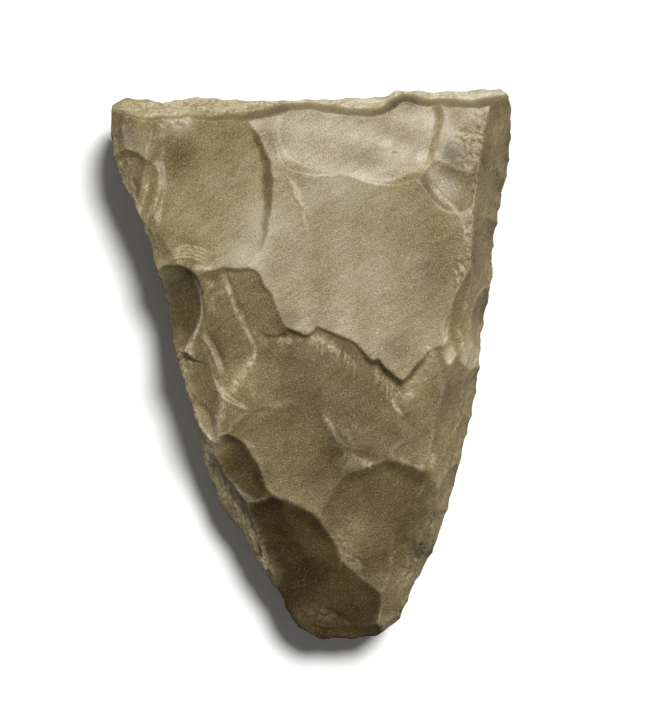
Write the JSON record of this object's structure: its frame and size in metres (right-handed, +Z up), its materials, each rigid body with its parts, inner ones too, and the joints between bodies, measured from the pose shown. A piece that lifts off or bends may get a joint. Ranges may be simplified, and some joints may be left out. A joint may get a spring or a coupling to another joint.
{
  "type": "stone celt",
  "caption": "Flaked stone celt with a wide bevelled edge and a narrow rounded end, lying on its back.",
  "frame": {"origin": "under the middle of the outline, on the surface that the stone lies on", "axes": "+X across the stone, +Y from the narrow end to the wide edge, +Z up out of the better face"},
  "size_m": [0.084, 0.1158, 0.0272],
  "materials": {
    "chert": "dull waxy flaked stone"
  },
  "bodies": {
    "root": {"celt": "chert"}
  },
  "joints": []
}
